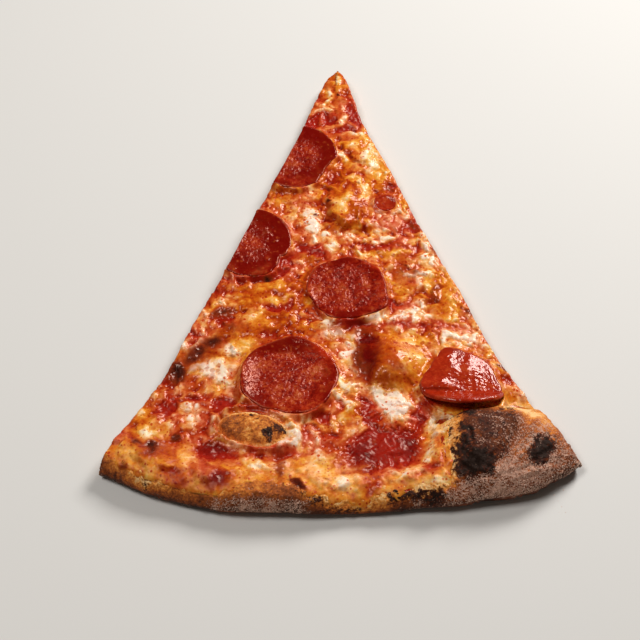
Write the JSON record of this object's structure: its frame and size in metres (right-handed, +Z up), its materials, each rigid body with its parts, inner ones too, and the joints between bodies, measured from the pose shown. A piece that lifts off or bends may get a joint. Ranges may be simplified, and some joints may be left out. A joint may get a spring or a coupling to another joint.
{
  "type": "pepperoni pizza slice",
  "caption": "Triangular slice of thin baked pizza with a raised charred crust, tomato sauce, browned melted cheese and cupped pepperoni slices, two of them cut by the knife.",
  "frame": {"origin": "middle of the slice's box on the surface it lies on", "axes": "+Y from the crust towards the tip, +X to the right seen from the crust end, +Z up"},
  "size_m": [0.1846, 0.2256, 0.0182],
  "materials": {
    "baked_dough": "oven-baked wheat dough, floury, browned and charred in places",
    "tomato_sauce": "cooked tomato sauce, wet and slightly grainy",
    "melted_cheese": "melted mozzarella, oily, with cream pools and toasted spots",
    "pepperoni": "cured sausage slice, oily, speckled with fat"
  },
  "bodies": {
    "root": {"crust": "baked_dough", "tomato_sauce": "tomato_sauce", "melted_cheese": "melted_cheese", "pepperoni_tip_left": "pepperoni", "pepperoni_mid_left": "pepperoni", "pepperoni_centre": "pepperoni", "pepperoni_low_left": "pepperoni", "pepperoni_low_right": "pepperoni", "pepperoni_end_piece": "pepperoni"}
  },
  "joints": []
}
